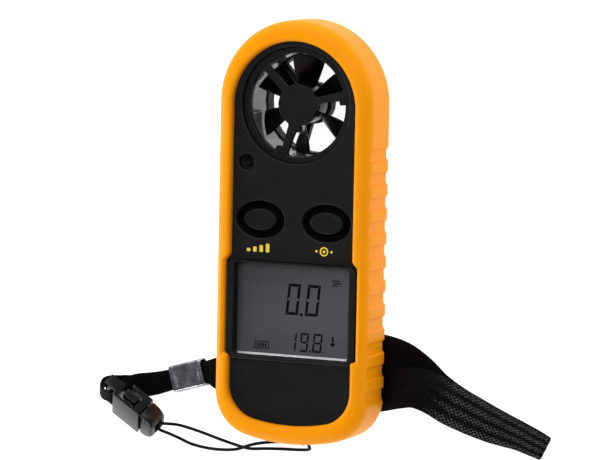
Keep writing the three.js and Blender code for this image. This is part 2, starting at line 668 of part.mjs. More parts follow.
// ---- side-release buckle ----
// Built flat: +X from the bar to the nose, +Y across, +Z its thickness; then leant on one edge.
const BUCKLE_AT = [-47.6, -47.4, 5.7];
const BUCKLE_TURN = -32.7;
const BUCKLE_LEAN = 46;

function placeBuckle(solid) {
  return solid.rotate([BUCKLE_LEAN, 0, 0]).rotate([0, 0, BUCKLE_TURN]).translate(BUCKLE_AT);
}

function makeBuckle() {
  const barX = -7.4;
  const side = 4.9;
  const half = 2.5;
  const bar = slab(barX, 0, 1.4, 2 * side, -1, 1);
  const rails = [-1, 1].map((s) => slab(-5.8, s * (side - 0.5), 4.6, 1, -1.4, 1.4));
  const back = slab(-3.9, 0, 1, 2 * side, -1.4, half);
  const topSkin = slab(0.2, 0, 8.4, 2 * side, half - 0.35, half + 0.35);
  const lowSkin = slab(1.2, 0, 6.4, 2 * side, -half - 0.35, -half + 0.35);
  const cheeks = [-1, 1].map((s) => slab(3.4, s * (side - 0.4), 2, 0.8, -half, half));
  const socket = join(bar, back, ...rails, topSkin, lowSkin, ...cheeks);
  addPart('buckle_socket', placeBuckle(socket), GLOSS_BLACK);

  const noseShape = new THREE.Shape();
  noseShape.moveTo(4.8, -4.9);
  noseShape.lineTo(7, -4.4);
  noseShape.quadraticCurveTo(8.8, -3.4, 8.9, -1.6);
  noseShape.lineTo(8.9, 1.6);
  noseShape.quadraticCurveTo(8.8, 3.4, 7, 4.4);
  noseShape.lineTo(4.8, 4.9);
  noseShape.closePath();
  const nose = roundedPlate(noseShape, -2.6, 2.6, 0.6, 2, 5);
  const tongue = slab(1.5, 0, 8, 1.6, -0.7, 0.7);
  const eye = slab(8, 0, 4.4, 3.8, -1.2, 1.2);
  const armSeats = [-1, 1].map((s) => slab(4.6, s * 2.9, 1.2, 1.8, -1.4, 1.4));
  addPart('buckle_plug', placeBuckle(cut(nose.add(tongue), eye, ...armSeats)), GLOSS_BLACK);

  for (const [s, name] of [[-1, 'low'], [1, 'high']]) {
    const stem = slab(1.2, s * 2.9, 7.2, 1.0, -1.1, 1.1);
    const pad = slab(-0.4, s * 3.9, 4, 1.6, -1.1, 1.1);
    addPart(`buckle_arm_${name}`, placeBuckle(stem.add(pad)), GLOSS_BLACK);
  }
}

makeJacket();
makeFrontCase();
makeRearCase();
makeBatteryDoor();
makeScrews();
makeFrontGuard();
makeRearGuard();
makeDuct();
makeImpeller();
makeBearings();
makeThermistor();
makeKeys();
makeDisplay();
makeElectronics();
makeBattery();
makeAnchorPin();
makeCord();
makeStrap();
makeCrimp();
makeBuckle();

export default group;
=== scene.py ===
import math

import bpy
import numpy as np
from mathutils import Matrix, Vector
from mathutils.geometry import tessellate_polygon


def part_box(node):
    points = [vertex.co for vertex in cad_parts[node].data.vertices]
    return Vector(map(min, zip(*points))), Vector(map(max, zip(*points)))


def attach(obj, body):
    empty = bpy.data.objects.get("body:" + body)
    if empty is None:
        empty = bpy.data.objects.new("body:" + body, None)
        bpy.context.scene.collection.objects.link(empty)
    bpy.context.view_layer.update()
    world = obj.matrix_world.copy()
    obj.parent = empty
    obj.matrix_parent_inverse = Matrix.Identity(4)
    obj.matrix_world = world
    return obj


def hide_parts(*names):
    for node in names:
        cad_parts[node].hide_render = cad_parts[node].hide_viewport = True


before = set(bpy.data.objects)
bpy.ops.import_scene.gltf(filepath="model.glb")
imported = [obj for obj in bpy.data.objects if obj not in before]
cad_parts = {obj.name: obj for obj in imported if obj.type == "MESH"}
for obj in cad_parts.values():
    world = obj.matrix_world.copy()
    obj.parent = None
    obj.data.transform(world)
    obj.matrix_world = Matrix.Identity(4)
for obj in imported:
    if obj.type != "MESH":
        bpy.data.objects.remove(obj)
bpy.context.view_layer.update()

# Lengths are in millimetres until mesh_piece() turns them into metres.
MM = 0.001


def node_box(node):
    """A CAD node's lowest and highest corner, in millimetres."""
    low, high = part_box(node)
    return np.array(low) / MM, np.array(high) / MM


def middle(node):
    low, high = node_box(node)
    return (low + high) / 2


# ---- sizes that follow the CAD model ----
JACKET_LOW, JACKET_HIGH = node_box("jacket")
WIDTH = JACKET_HIGH[0] - JACKET_LOW[0]
LENGTH = JACKET_HIGH[1] - JACKET_LOW[1]
JACKET_Z0, JACKET_Z1 = JACKET_LOW[2], JACKET_HIGH[2]
JACKET_ROUND = 3.2
LIP_ROUND = 1.0
OPENING_INSET = 4.05
RELIEF_INSET = 2.8
FAN_END_DROP = 1.1
LIP_START = 1.75
FACE_Z = JACKET_Z1 - 1.74
FAN_X, FAN_Y, _ = middle("front_guard")
GUARD_TOP = node_box("front_guard")[1][2]
PORT_X, PORT_Y, _ = middle("sensor_tube")
LCD_X, LCD_Y, _ = middle("lcd_window")
LCD_TOP = node_box("lcd_window")[1][2]
LCD_WIDTH, LCD_HEIGHT = 30.2, 22.4
BEZEL_WIDTH, BEZEL_Y0, BEZEL_Y1 = 34.8, -31.9, -7.3
BEZEL_TOP = node_box("front_case")[1][2]
FRAME_CORNER_R = 2.0
WELL_WIDTH, WELL_HEIGHT = 12.9, 9.2
FAN_HUB_R, FAN_BORE_R, FAN_HOLE_R = 5.2, 12.8, 14.4
GUARD_R, GUARD_THICKNESS = 14.5, 1.4
SPOKE_HALF, SPOKE_FILLET = 0.92, 0.7
SPOKE_ANGLES = (14, 134, 254)
SHARP_ANGLE = 30
KEY_WIDTH, KEY_HEIGHT = 8.9, 5.5


# ---- camera ----
CAMERA_SIDE, CAMERA_RISE, CAMERA_ROLL = 23.943, 5.953, 1.1356
CAMERA_LENS, CAMERA_SHIFT = 267.1, (0.0042, 0.0027)
CAMERA_TARGET_Z, CAMERA_DISTANCE = 0.0089, 1.1175


def make_camera():
    """The view from 24 degrees to the right of the face's normal and 6 degrees towards the fan."""
    side, rise, roll = (math.radians(a) for a in (CAMERA_SIDE, CAMERA_RISE, CAMERA_ROLL))
    back = Vector((math.sin(side) * math.cos(rise), math.sin(rise), math.cos(side) * math.cos(rise)))
    right = Vector((math.cos(side), 0, -math.sin(side)))
    up = back.cross(right)
    across = right * math.cos(roll) + up * math.sin(roll)
    upward = up * math.cos(roll) - right * math.sin(roll)
    data = bpy.data.cameras.new("camera")
    data.sensor_width = 36
    data.lens = CAMERA_LENS
    data.shift_x, data.shift_y = CAMERA_SHIFT
    data.clip_start = 0.01
    data.clip_end = 20
    camera = bpy.data.objects.new("camera", data)
    turn = Matrix((across, upward, back)).transposed().to_4x4()
    place = Matrix.Translation(Vector((0, 0, CAMERA_TARGET_Z)) + back * CAMERA_DISTANCE)
    camera.matrix_world = place @ turn
    bpy.context.collection.objects.link(camera)
    bpy.context.scene.camera = camera


# ---- materials ----
NOISE_ROUGHNESS = 0.55


def linear(red, green, blue):
    """A linear colour from 0 to 255 display values."""
    def channel(value):
        v = value / 255
        return v / 12.92 if v <= 0.04045 else ((v + 0.055) / 1.055) ** 2.4
    return (channel(red), channel(green), channel(blue), 1)


def shade(color, factor):
    return tuple(min(1, c * factor) for c in color[:3]) + (1,)


class Nodes:
    """A material's node tree, with short ways to add and join nodes."""

    def __init__(self, name):
        self.material = bpy.data.materials.new(name)
        self.material.use_nodes = True
        self.tree = self.material.node_tree
        self.shader = self.tree.nodes["Principled BSDF"]

    def add(self, kind, **settings):
        node = self.tree.nodes.new(kind)
        for key, value in settings.items():
            setattr(node, key, value)
        return node

    def join(self, source, target):
        self.tree.links.new(source, target)

    def noise(self, size, detail=3.0):
        """Noise whose features are about size millimetres across."""
        coords = self.add("ShaderNodeTexCoord")
        noise = self.add("ShaderNodeTexNoise")
        noise.inputs["Scale"].default_value = 1 / (size * MM)
        noise.inputs["Detail"].default_value = detail
        noise.inputs["Roughness"].default_value = NOISE_ROUGHNESS
        self.join(coords.outputs["Object"], noise.inputs["Vector"])
        return noise.outputs["Fac"]

    def ramp(self, source, stops):
        """Colours along a factor. stops is [(position, colour), ...]."""
        ramp = self.add("ShaderNodeValToRGB")
        elements = ramp.color_ramp.elements
        while len(elements) < len(stops):
            elements.new(0.5)
        for element, (position, color) in zip(elements, stops):
            element.position = position
            element.color = color
        self.join(source, ramp.inputs["Fac"])
        return ramp.outputs["Color"]

    def spread(self, source, low, high, start=0.3, end=0.7):
        """A number that goes from low to high as source goes from start to end."""
        node = self.add("ShaderNodeMapRange")
        for socket, value in zip(("From Min", "From Max", "To Min", "To Max"), (start, end, low, high)):
            node.inputs[socket].default_value = value
        self.join(source, node.inputs["Value"])
        return node.outputs["Result"]

    def math(self, operation, a, b=None):
        node = self.add("ShaderNodeMath", operation=operation)
        for socket, value in zip(node.inputs, (a, b)):
            if value is None:
                continue
            if isinstance(value, (int, float)):
                socket.default_value = value
            else:
                self.join(value, socket)
        return node.outputs[0]

    def mix(self, factor, a, b):
        node = self.add("ShaderNodeMix", data_type="RGBA")
        self.join(factor, node.inputs[0])
        for socket, value in ((node.inputs[6], a), (node.inputs[7], b)):
            if isinstance(value, tuple):
                socket.default_value = value
            else:
                self.join(value, socket)
        return node.outputs[2]

    def bump(self, height, depth):
        """Bump from a 0 to 1 height, depth millimetres deep."""
        node = self.add("ShaderNodeBump")
        node.inputs["Distance"].default_value = depth * MM
        self.join(height, node.inputs["Height"])
        self.join(node.outputs["Normal"], self.shader.inputs["Normal"])


def moulded(name, color, rough, grain=0.25, depth=0.012, vary=0.08, metal=0.0, patch=7.0,
            edge=0.0, coat=0.0, gloss=0.5):
    """Moulded plastic, rubber or metal: grain, slow colour change, uneven gloss, and sharp edges lightened as
    a painted highlight.
    """
    n = Nodes(name)
    slow = n.noise(patch, 4.0)
    tint = n.ramp(slow, [(0.3, shade(color, 1 - vary)), (0.7, shade(color, 1 + vary))])
    # edge sets a painted highlight: lighter colour on convex edges, where edges catch the light.
    if edge:
        geometry = n.add("ShaderNodeNewGeometry")
        edge_highlight = n.spread(geometry.outputs["Pointiness"], 0.0, edge, 0.52, 0.6)
        tint = n.mix(edge_highlight, tint, shade(color, 2.2))
    n.join(tint, n.shader.inputs["Base Color"])
    n.join(n.spread(n.noise(patch / 3), rough * 0.88, rough * 1.12), n.shader.inputs["Roughness"])
    n.shader.inputs["Metallic"].default_value = metal
    n.shader.inputs["Coat Weight"].default_value = coat
    n.shader.inputs["Coat Roughness"].default_value = 0.12
    n.shader.inputs["Specular IOR Level"].default_value = gloss
    n.bump(n.noise(grain, 2.0), depth)
    return n.material


def woven(name, color, fleck, pitch, across, depth, lit=None):
    """Webbing or braid from its own map: U runs along it and V across it, both in millimetres.

    With lit, the flecks show fully only between those two distances along it, as painted light on the stretch
    that catches the light.
    """
    n = Nodes(name)
    uv = n.add("ShaderNodeUVMap", uv_map="weave")
    split = n.add("ShaderNodeSeparateXYZ")
    n.join(uv.outputs["UV"], split.inputs["Vector"])
    u = n.math("MULTIPLY", split.outputs["X"], 2 * math.pi / pitch)
    v = n.math("MULTIPLY", split.outputs["Y"], 2 * math.pi / across)
    one = n.math("SINE", n.math("ADD", u, v))
    two = n.math("SINE", n.math("SUBTRACT", u, v))
    knots = n.math("MAXIMUM", one, two)
    rib = n.math("MULTIPLY", n.math("SINE", n.math("MULTIPLY", v, 2.0)), 0.25)
    height = n.math("ADD", knots, rib)
    fuzz = n.math("ADD", height, n.math("MULTIPLY", n.noise(0.35, 4.0), 1.6))
    level = n.spread(fuzz, 0.0, 1.0, 0.1, 2.2)
    rows = n.math("ABSOLUTE", n.math("SINE", n.math("MULTIPLY", split.outputs["Y"], 1.15)))
    sparse = n.math("MULTIPLY", level, n.spread(n.math("ADD", rows, n.noise(1.2)), 0.6, 1.0, 0.5, 1.4))
    # Painted light: flecks brighter along the lit stretch of strap, dimmer elsewhere.
    if lit:
        rising = n.spread(split.outputs["X"], 0.55, 1.0, lit[0], lit[0] + 12)
        falling = n.spread(split.outputs["X"], 1.0, 0.55, lit[1], lit[1] + 5)
        sparse = n.math("MULTIPLY", sparse, n.math("MULTIPLY", rising, falling))
    tint = n.ramp(sparse, [(0.15, shade(color, 0.35)), (0.68, color), (0.98, fleck)])
    n.join(tint, n.shader.inputs["Base Color"])
    n.join(n.spread(level, 0.85, 0.55), n.shader.inputs["Roughness"])
    n.shader.inputs["Specular IOR Level"].default_value = 0.07
    n.shader.inputs["Sheen Weight"].default_value = 0.015
    n.bump(level, depth)
    return n.material


def display_grey(name):
    """The idle display: cool grey behind gloss, with painted shade: a little lighter towards its lower right,
    darker towards its upper left.
    """
    n = Nodes(name)
    coords = n.add("ShaderNodeTexCoord")
    split = n.add("ShaderNodeSeparateXYZ")
    n.join(coords.outputs["Object"], split.inputs["Vector"])
    # Painted shade: the grey darkens towards the upper left, where the deep window wall shades the display.
    slope = n.math("SUBTRACT", split.outputs["X"], n.math("MULTIPLY", split.outputs["Y"], 1.2))
    level = n.spread(slope, 0.0, 1.0, -0.005, 0.052)
    tint = n.ramp(level, [(0.0, linear(58, 58, 62)), (0.4, linear(72, 72, 77)),
                          (1.0, linear(80, 80, 85))])
    mottled = n.mix(n.spread(n.noise(1.1, 5.0), 0.0, 0.12), tint, linear(60, 60, 66))
    n.join(mottled, n.shader.inputs["Base Color"])
    n.join(n.spread(n.noise(3.0), 0.2, 0.3), n.shader.inputs["Roughness"])
    n.shader.inputs["Coat Weight"].default_value = 0.5
    n.shader.inputs["Coat Roughness"].default_value = 0.06
    n.bump(n.noise(0.3, 2.0), 0.003)
    return n.material


def make_materials():
    return {
        "rubber": moulded("rubber", linear(255, 156, 0), 0.45, 0.35, 0.012, 0.03, patch=16, gloss=0.1),
        "charcoal": moulded("charcoal", linear(22, 22, 24), 0.46, 0.22, 0.02, 0.1, edge=0.25, gloss=0.15),
        "guard": moulded("guard", linear(19, 19, 21), 0.5, 0.22, 0.02, 0.1, edge=0.25, gloss=0.15),
        "gloss": moulded("gloss", linear(4, 4, 5), 0.22, 0.6, 0.004, 0.15, gloss=0.25),
        # The fan duct's wall: glossy black plastic given a mid-grey base as painted reflection of the white
        # surroundings.
        "duct_reflection_grey": moulded("duct_reflection_grey", linear(96, 96, 100), 0.22, 0.6, 0.004, 0.12, coat=0.4),
        "key": moulded("key", linear(16, 16, 18), 0.5, 0.2, 0.015, 0.1, edge=0.3, gloss=0.15),
        # Key webs in the wells' moats: black rubber, made darker and duller than the keys as painted shade of
        # the deep recess.
        "recess_shade_black": moulded("recess_shade_black", linear(3, 3, 4), 0.8, 0.2, 0.01, 0.1, gloss=0.05),
        "buckle": moulded("buckle", linear(15, 15, 17), 0.28, 0.25, 0.01, 0.12, edge=0.3, gloss=0.3),
        "display": display_grey("display"),
        "digits": moulded("digits", linear(5, 5, 7), 0.4, 0.3, 0.002, 0.1, gloss=0.08),
        # Near-white strips on the window's edges: painted highlight of the edges catching the light.
        "pane_edge_highlight": moulded("pane_edge_highlight", linear(196, 198, 202), 0.12, 0.6, 0.002, 0.05, coat=0.6),
        "print": moulded("print", linear(236, 205, 60), 0.5, 0.12, 0.004, 0.1),
        "steel": moulded("steel", linear(205, 207, 210), 0.3, 0.15, 0.004, 0.06, metal=1.0),
        "crimp": moulded("crimp", linear(150, 152, 158), 0.24, 2.2, 0.16, 0.4, metal=1.0, patch=2.2,
                         edge=0.8),
        "brass": moulded("brass", linear(205, 165, 82), 0.32, 0.2, 0.004, 0.08, metal=1.0),
        "board": moulded("board", linear(28, 92, 52), 0.4, 0.5, 0.01, 0.18, coat=0.3),
        "grey_rubber": moulded("grey_rubber", linear(112, 116, 122), 0.75, 0.3, 0.01, 0.1),
        "web": woven("web", linear(6, 6, 7), linear(122, 122, 128), 1.15, 0.95, 0.1, lit=(64, 103)),
        "cord": woven("cord", linear(16, 16, 18), linear(74, 74, 78), 0.7, 0.6, 0.03),
    }


# ---- making pieces ----
def mesh_piece(name, points, faces, material, body="meter", sharp=35):
    """A new mesh from points in millimetres, smooth but for edges sharper than sharp degrees."""
    mesh = bpy.data.meshes.new(name)
    mesh.from_pydata((np.array(points, float) * MM).tolist(), [], faces)
    return finish_piece(name, mesh, material, body, sharp)


def finish_piece(name, mesh, material, body="meter", sharp=35):
    mesh.validate()
    mesh.polygons.foreach_set("use_smooth", [True] * len(mesh.polygons))
    mesh.set_sharp_from_angle(angle=math.radians(sharp))
    mesh.materials.clear()
    mesh.materials.append(material)
    piece = bpy.data.objects.new(name, mesh)
    bpy.context.collection.objects.link(piece)
    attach(piece, body)
    return piece


def plate_mesh(name, outlines, z0, z1, bevel):
    """A plate between two heights: outlines[0] is its edge and the rest are holes."""
    curve = bpy.data.curves.new(name, "CURVE")
    curve.dimensions = "2D"
    curve.fill_mode = "BOTH"
    for outline in outlines:
        spline = curve.splines.new("POLY")
        spline.points.add(len(outline) - 1)
        for point, (x, y) in zip(spline.points, outline):
            point.co = (x * MM, y * MM, 0, 1)
        spline.use_cyclic_u = True
    curve.extrude = max((z1 - z0) / 2 - bevel, 0) * MM
    curve.bevel_depth = bevel * MM
    curve.bevel_resolution = 3
    curve.offset = -bevel * MM
    holder = bpy.data.objects.new(name, curve)
    bpy.context.collection.objects.link(holder)
    shown = holder.evaluated_get(bpy.context.evaluated_depsgraph_get())
    mesh = bpy.data.meshes.new_from_object(shown)
    mesh.transform(Matrix.Translation((0, 0, (z0 + z1) / 2 * MM)))
    bpy.data.objects.remove(holder)
    bpy.data.curves.remove(curve)
    return mesh


def join_meshes(name, meshes):
    points, faces = [], []
    for mesh in meshes:
        start = len(points)
        points += [tuple(v.co) for v in mesh.vertices]
        faces += [[start + i for i in p.vertices] for p in mesh.polygons]
    joined = bpy.data.meshes.new(name)
    joined.from_pydata(points, [], faces)
    return joined


def plate(name, outlines, z0, z1, bevel, material, body="meter"):
    return finish_piece(name, plate_mesh(name, outlines, z0, z1, bevel), material, body)


def arc(x, y, radius, start, end, steps):
    """Points on an arc, angles in degrees, both ends included."""
    angles = np.radians(np.linspace(start, end, steps + 1))
    return [(x + radius * math.cos(a), y + radius * math.sin(a)) for a in angles]


def circle(x, y, radius, steps=96):
    return arc(x, y, radius, 0, 360, steps)[:-1]


def oval(x, y, width, height, steps=96):
    return [(x + px * width / 2, y + py * height / 2) for px, py in circle(0, 0, 1, steps)]


def rounded(x, y, width, height, radius, steps=10):
    points = []
    for k, (sx, sy) in enumerate(((1, 1), (-1, 1), (-1, -1), (1, -1))):
        cx, cy = x + sx * (width / 2 - radius), y + sy * (height / 2 - radius)
        points += arc(cx, cy, radius, 90 * k, 90 * k + 90, steps)
    return points


# ---- body outline ----
SIDE_STEPS = 560


def body_outline(inset, extra=0.0, side=SIDE_STEPS, top=140, corner_steps=30, bottom_steps=80):
    """The body's edge, moved in by inset: fan end, left side, left corner, bottom, and back up.
    Every inset gives the same number of points, so that rings of them can be joined."""
    half = WIDTH / 2 - inset
    top_y = LENGTH / 2 - WIDTH / 2
    corner = 11 - 0.6 * inset
    bow = 50 - inset
    bow_y = -LENGTH / 2 + inset + extra + bow
    cx = half - corner
    cy = bow_y - math.sqrt((bow - corner) ** 2 - cx ** 2)
    lean = math.degrees(math.atan2(cx, bow_y - cy))
    points = arc(0, top_y, half, 0, 180, top)
    points += [(-half, y) for y in np.linspace(top_y, cy, side + 1)[1:]]
    points += arc(-cx, cy, corner, 180, 270 - lean, corner_steps)[1:]
    points += arc(0, bow_y, bow, 270 - lean, 270 + lean, bottom_steps)[1:]
    points += arc(cx, cy, corner, 270 + lean, 360, corner_steps)[1:]
    points += [(half, y) for y in np.linspace(cy, top_y, side + 1)[1:-1]]
    return np.array(points)


def coarse_outline(inset, extra=0.0):
    return [tuple(p) for p in body_outline(inset, extra, 2, 90, 16, 24)]


def step_between(value, start, end):
    """0 before start, 1 after end and smooth between them, on arrays."""
    t = np.clip((value - start) / (end - start), 0, 1)
    return t * t * (3 - 2 * t)


# ---- rubber jacket ----
GRIP_COUNT = 11
GRIP_PITCH = 5.95
GRIP_FIRST_Y = -39.6
GRIP_HEIGHT = 3.2
GRIP_DEPTH = 0.5


def grip_share(y, z):
    """1 inside a grip notch, 0 outside, with a quick soft edge. A notch has round corners."""
    k = np.clip(np.round((y - GRIP_FIRST_Y) / GRIP_PITCH), 0, GRIP_COUNT - 1)
    away_y = np.abs(y - GRIP_FIRST_Y - k * GRIP_PITCH)
    z0, z1, radius = JACKET_Z0 + 0.7, JACKET_Z1 - 2.0, 1.1
    away_y = away_y - (GRIP_HEIGHT / 2 - radius)
    away_z = np.abs(z - (z0 + z1) / 2) - ((z1 - z0) / 2 - radius)
    distance = np.hypot(np.maximum(away_y, 0), np.maximum(away_z, 0))
    in_reach = y < GRIP_FIRST_Y + (GRIP_COUNT - 0.5) * GRIP_PITCH
    return np.where(in_reach, 1 - step_between(distance, radius - 0.16, radius + 0.16), 0)


def shape_ring(ring, z):
    """A ring at one height, with the grips and the scoop for the cord pressed into it."""
    x, y = ring[:, 0].copy(), ring[:, 1].copy()
    lean = np.clip((JACKET_Z0 + JACKET_ROUND - z) / JACKET_ROUND, 0, 1)
    pressed = GRIP_DEPTH * grip_share(y, z)
    x -= np.sign(x) * pressed * math.sqrt(1 - lean ** 2)
    z_pressed = z + pressed * lean
    scoop_y, scoop_r, scoop_top = -LENGTH / 2 - 3.6, 5.0, 9.0
    if z < scoop_top:
        inside = np.abs(x) < scoop_r
        wall = scoop_y + np.sqrt(np.maximum(scoop_r ** 2 - x ** 2, 0))
        y = np.where(inside & (y < 0), np.maximum(y, wall), y)
    return np.stack([x, y, z_pressed], axis=1)


def jacket_rings():
    """Rings from the back's flat, round the outside, over the lip and down to the face."""
    rings = []
    for a in np.radians(np.linspace(0, 90, 11)):
        inset = JACKET_ROUND * (1 - math.sin(a))
        z = JACKET_Z0 + JACKET_ROUND * (1 - math.cos(a))
        rings.append(shape_ring(body_outline(inset), z))
    wall_top = JACKET_Z1 - JACKET_ROUND
    for z in np.arange(JACKET_Z0 + JACKET_ROUND + 0.2, wall_top, 0.2):
        rings.append(shape_ring(body_outline(0), z))
    edge = body_outline(0)
    opening = opening_inset(edge[:, 1])
    start = opening - LIP_ROUND
    full_turn = np.arccos(1 - np.minimum(start, JACKET_ROUND) / JACKET_ROUND)
    for share in np.linspace(0, 1, 27):
        turn = full_turn * share
        inset = JACKET_ROUND * (1 - np.cos(turn))
        z = wall_top + JACKET_ROUND * np.sin(turn)
        rings.append(ring_at(inset, z))
    crest = wall_top + JACKET_ROUND * np.sin(full_turn)
    for a in np.radians(np.linspace(0, 90, 12)):
        inset = start + LIP_ROUND * math.sin(a)
        rings.append(ring_at(inset, crest - LIP_ROUND * (1 - math.cos(a))))
    rings.append(ring_at(opening, np.full(len(edge), FACE_Z - 0.15)))
    return rings


def opening_inset(y):
    """How far in the opening's edge is: it steps outwards beside the display's frame."""
    beside = step_between(y, BEZEL_Y0 - 1.2, BEZEL_Y0 + 0.5)
    beside = beside * (1 - step_between(y, BEZEL_Y1 - 1.2, BEZEL_Y1 + 0.5))
    fan_end = np.clip((y - (LENGTH / 2 - WIDTH / 2)) / (WIDTH / 2), 0, 1)
    return OPENING_INSET + (RELIEF_INSET - OPENING_INSET) * beside + FAN_END_DROP * fan_end


OUTLINE_STEP = 0.15
OUTLINES = [body_outline(i * OUTLINE_STEP, 0.8 * min(1, max(0, (i * OUTLINE_STEP - 1.5) / 2.4)))
            for i in range(40)]


def ring_at(inset, z):
    """A ring whose inset and height change along it."""
    stack = np.array(OUTLINES)
    at = np.clip(inset / OUTLINE_STEP, 0, len(OUTLINES) - 1.001)
    low = at.astype(int)
    part = (at - low)[:, None]
    k = np.arange(len(inset))
    ring = stack[low, k] * (1 - part) + stack[low + 1, k] * part
    rise = np.clip((z - JACKET_Z1 + JACKET_ROUND) / JACKET_ROUND, 0, 1)
    pressed = GRIP_DEPTH * grip_share(ring[:, 1], z) * (np.abs(inset) < LIP_START)
    x = ring[:, 0] - np.sign(ring[:, 0]) * pressed * np.sqrt(1 - rise ** 2)
    return np.stack([x, ring[:, 1], z - pressed * rise], axis=1)


def back_hole():
    """The opening round the rear guard, with a lobe for the sensor's port."""
    lobe = np.array([PORT_X - FAN_X, PORT_Y - FAN_Y])
    reach, lobe_r = np.hypot(*lobe), 3.3
    middle_angle = math.atan2(lobe[1], lobe[0])
    spread = math.asin(lobe_r / reach)
    points = []
    for a in np.radians(np.linspace(0, 360, 181))[:-1]:
        radius = 14.6
        off = (a - middle_angle + math.pi) % (2 * math.pi) - math.pi
        if abs(off) < spread:
            radius = reach * math.cos(off) + math.sqrt(lobe_r ** 2 - (reach * math.sin(off)) ** 2)
        points.append((FAN_X + radius * math.cos(a), FAN_Y + radius * math.sin(a)))
    return points


def in_cord_slot(points):
    """Whether a face's middle lies in the slot that the cord passes through."""
    x, y, z = np.mean(points, axis=0)
    return abs(x) < 2.5 and y < -50 and 4.6 < z < 6.2


def make_jacket(material):
    rings = jacket_rings()
    count = len(rings[0])
    points = np.concatenate(rings)
    faces = []
    for r in range(len(rings) - 1):
        low, high = r * count, (r + 1) * count
        for k in range(count):
            n = (k + 1) % count
            corners = (low + n, low + k, high + k, high + n)
            if points[low + k][1] > -50 or not in_cord_slot(points[list(corners)]):
                faces.append(corners)
    hole = back_hole()
    start = len(points)
    hole_rings = [[(x, y, z) for x, y in hole] for z in (JACKET_Z0, JACKET_Z0 + 1.7)]
    points = np.concatenate([points] + [np.array(ring) for ring in hole_rings])
    for k in range(len(hole)):
        n = (k + 1) % len(hole)
        faces.append((start + k, start + n, start + len(hole) + n, start + len(hole) + k))
    edge = [Vector(p) for p in rings[0]]
    inner = [Vector((x, y, JACKET_Z0)) for x, y in hole]
    lookup = list(range(count)) + list(range(start, start + len(hole)))
    for tri in tessellate_polygon([edge, inner]):
        faces.append(tuple(lookup[i] for i in tri))
    piece = mesh_piece("jacket_rubber", points, faces, material, sharp=50)
    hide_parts("jacket")


# ---- face ----
def make_face(mats):
    wells = [middle(node)[:2] for node in ("mode_key", "set_key")]
    outline = coarse_outline(3.1, 0.5)
    holes = [circle(FAN_X, FAN_Y, FAN_HOLE_R), circle(PORT_X, PORT_Y, 2.0, 48),
             rounded(LCD_X, LCD_Y, 31.6, 23.6, 1.5)]
    holes += [oval(x, y, WELL_WIDTH, WELL_HEIGHT) for x, y in wells]
    face = plate_mesh("face", [outline] + holes, FACE_Z - 2.0, FACE_Z, 0.4)
    frame_y = (BEZEL_Y0 + BEZEL_Y1) / 2
    rim = rounded(LCD_X, frame_y, BEZEL_WIDTH, BEZEL_Y1 - BEZEL_Y0, FRAME_CORNER_R)
    window = rounded(LCD_X, LCD_Y, LCD_WIDTH + 0.6, LCD_HEIGHT + 0.6, 0.9)
    bezel = plate_mesh("bezel", [rim, window], LCD_TOP - 0.6, BEZEL_TOP, 0.42)
    piece = finish_piece("face_shell", join_meshes("face_shell", [face, bezel]), mats["charcoal"])
    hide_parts("front_case")


def guard_window(start, end, hub_r, rim_r, half, fillet):
    """The gap between two spokes, its four corners rounded. Angles in degrees."""
    def corner(angle, side, radius):
        """A fillet's middle: fillet away from the spoke's edge, at this radius."""
        away = side * (half + fillet)
        along = math.sqrt(radius ** 2 - away ** 2)
        a = math.radians(angle)
        x = along * math.cos(a) - away * math.sin(a)
        y = along * math.sin(a) + away * math.cos(a)
        return x, y, math.degrees(math.atan2(y, x))

    def sweep(first, last, turn):
        while turn * (last - first) < 0:
            last += 360 * turn
        return first, last

    points = []
    x, y, out = corner(start, 1, rim_r - fillet)
    first, last = sweep(start - 90, out, 1)
    points += arc(x, y, fillet, first, last, 6)
    x2, y2, out2 = corner(end, -1, rim_r - fillet)
    first, last = sweep(out, out2, 1)
    points += arc(0, 0, rim_r, first, last, 40)
    first, last = sweep(out2, end + 90, 1)
    points += arc(x2, y2, fillet, first, last, 6)
    x3, y3, in3 = corner(end, -1, hub_r + fillet)
    first, last = sweep(end + 90, in3 + 180, 1)
    points += arc(x3, y3, fillet, first, last, 6)
    x4, y4, in4 = corner(start, 1, hub_r + fillet)
    first, last = sweep(in3, in4, -1)
    points += arc(0, 0, hub_r, first, last, 24)
    first, last = sweep(in4 + 180, start + 270, 1)
    points += arc(x4, y4, fillet, first, last, 6)
    return [(FAN_X + px, FAN_Y + py) for px, py in points]


def make_guard(mats):
    windows = [guard_window(a, a + 120, FAN_HUB_R, FAN_BORE_R, SPOKE_HALF, SPOKE_FILLET)
               for a in SPOKE_ANGLES]
    grille = plate_mesh("grille", [circle(FAN_X, FAN_Y, GUARD_R)] + windows,
                        GUARD_TOP - GUARD_THICKNESS, GUARD_TOP, 0.28)
    piece = finish_piece("fan_grille", grille, mats["guard"])
    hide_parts("front_guard")


def make_impeller(mats):
    """Six pitched blades round a hub, with rounded edges."""
    low, high = node_box("impeller")
    z0, z1 = low[2] + 0.4, high[2] - 0.3
    hub_r, tip_r, span, count = 4.8, 12.3, 34, 6
    points, faces = [], []
    rows, steps, half = 8, 14, 0.33
    for k in range(count):
        middle_angle = 26.5 + 360 / count * k
        start = len(points)
        for side in (-1, 1):
            for i in range(rows + 1):
                radius = hub_r - 0.8 + (tip_r - hub_r + 0.8) * i / rows
                for j in range(steps + 1):
                    t = j / steps
                    trim = 1 - 0.1 * (i / rows) ** 6 * abs(2 * t - 1) ** 4
                    a = math.radians(middle_angle + span * (t - 0.5) * trim)
                    z = z0 + (z1 - z0) * t + side * half * math.sqrt(1 - 0.8 * abs(2 * t - 1) ** 6)
                    points.append((FAN_X + radius * math.cos(a), FAN_Y + radius * math.sin(a), z))
        faces += blade_faces(start, rows, steps)
    piece = mesh_piece("impeller_blades", points, faces, mats["gloss"], "rotor", 60)
    soften(piece, 0.1)
    hub = plate("impeller_hub", [circle(FAN_X, FAN_Y, hub_r), circle(FAN_X, FAN_Y, 0.7, 32)],
                low[2], high[2], 0.6, mats["gloss"], "rotor")
    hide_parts("impeller")


